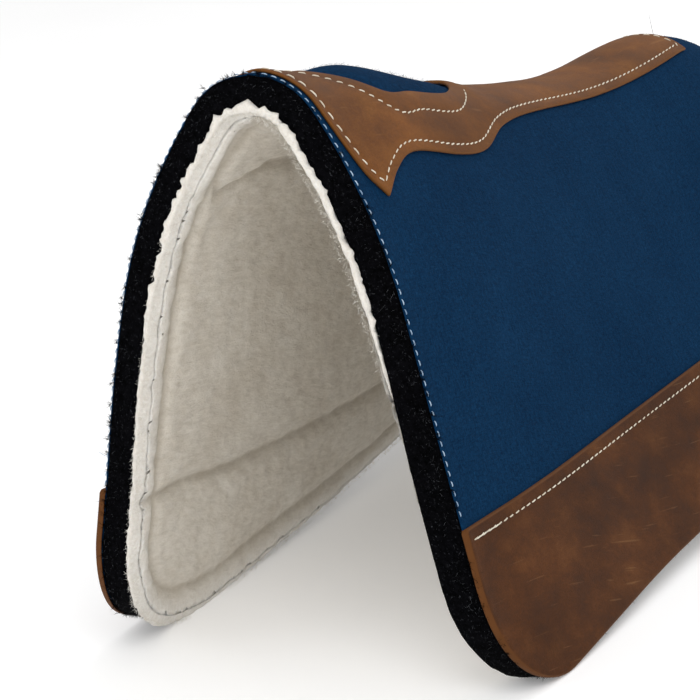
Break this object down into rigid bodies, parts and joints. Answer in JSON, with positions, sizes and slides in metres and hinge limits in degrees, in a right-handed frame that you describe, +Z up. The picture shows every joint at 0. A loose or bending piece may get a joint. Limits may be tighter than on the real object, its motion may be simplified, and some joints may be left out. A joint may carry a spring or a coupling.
{
  "type": "contoured western saddle pad",
  "caption": "Tent-shaped contoured western saddle pad: wool cover over thick felt, fleece lining, leather along the spine with a withers opening, and wear leathers low on each side.",
  "frame": {"origin": "outer face of the cover on the spine line, at the front edge", "axes": "+X across the pad towards its right side, +Y along the spine from the front edge to the rear edge, +Z up"},
  "size_m": [0.3778, 0.812, 0.3839],
  "materials": {
    "navy_wool": "matte wool felt with a fine nap",
    "black_felt": "matte pressed felt with pale fibres in the cut edge",
    "cream_fleece": "soft short pile",
    "dark_leather": "oiled, distressed, semi-matte",
    "tan_leather": "oiled pull-up, semi-matte",
    "pale_blue_thread": "twisted thread",
    "cream_thread": "waxed twisted thread",
    "tape_webbing": "matte woven tape"
  },
  "bodies": {
    "left_half": {"cover_left": "navy_wool", "felt_core_left": "black_felt", "fleece_lining_left": "cream_fleece", "wear_leather_left": "dark_leather", "edge_seam_left": "pale_blue_thread", "wear_leather_seam_left": "cream_thread", "fleece_seam_left": "cream_thread", "spine_leather": "tan_leather", "spine_leather_seam": "cream_thread", "opening_seam": "cream_thread", "spine_tape": "tape_webbing"},
    "right_half": {"cover_right": "navy_wool", "felt_core_right": "black_felt", "fleece_lining_right": "cream_fleece", "wear_leather_right": "dark_leather", "edge_seam_right": "pale_blue_thread", "wear_leather_seam_right": "cream_thread", "fleece_seam_right": "cream_thread"}
  },
  "joints": [
    {"name": "spine_fold", "type": "hinge", "parent": "left_half", "child": "right_half", "pos_m": [0, 0, 0.002], "axis": [0, -0.9913, 0.1314], "range_deg": [0, 90], "deforming": ["spine_leather", "spine_leather_seam", "opening_seam", "spine_tape"]}
  ]
}
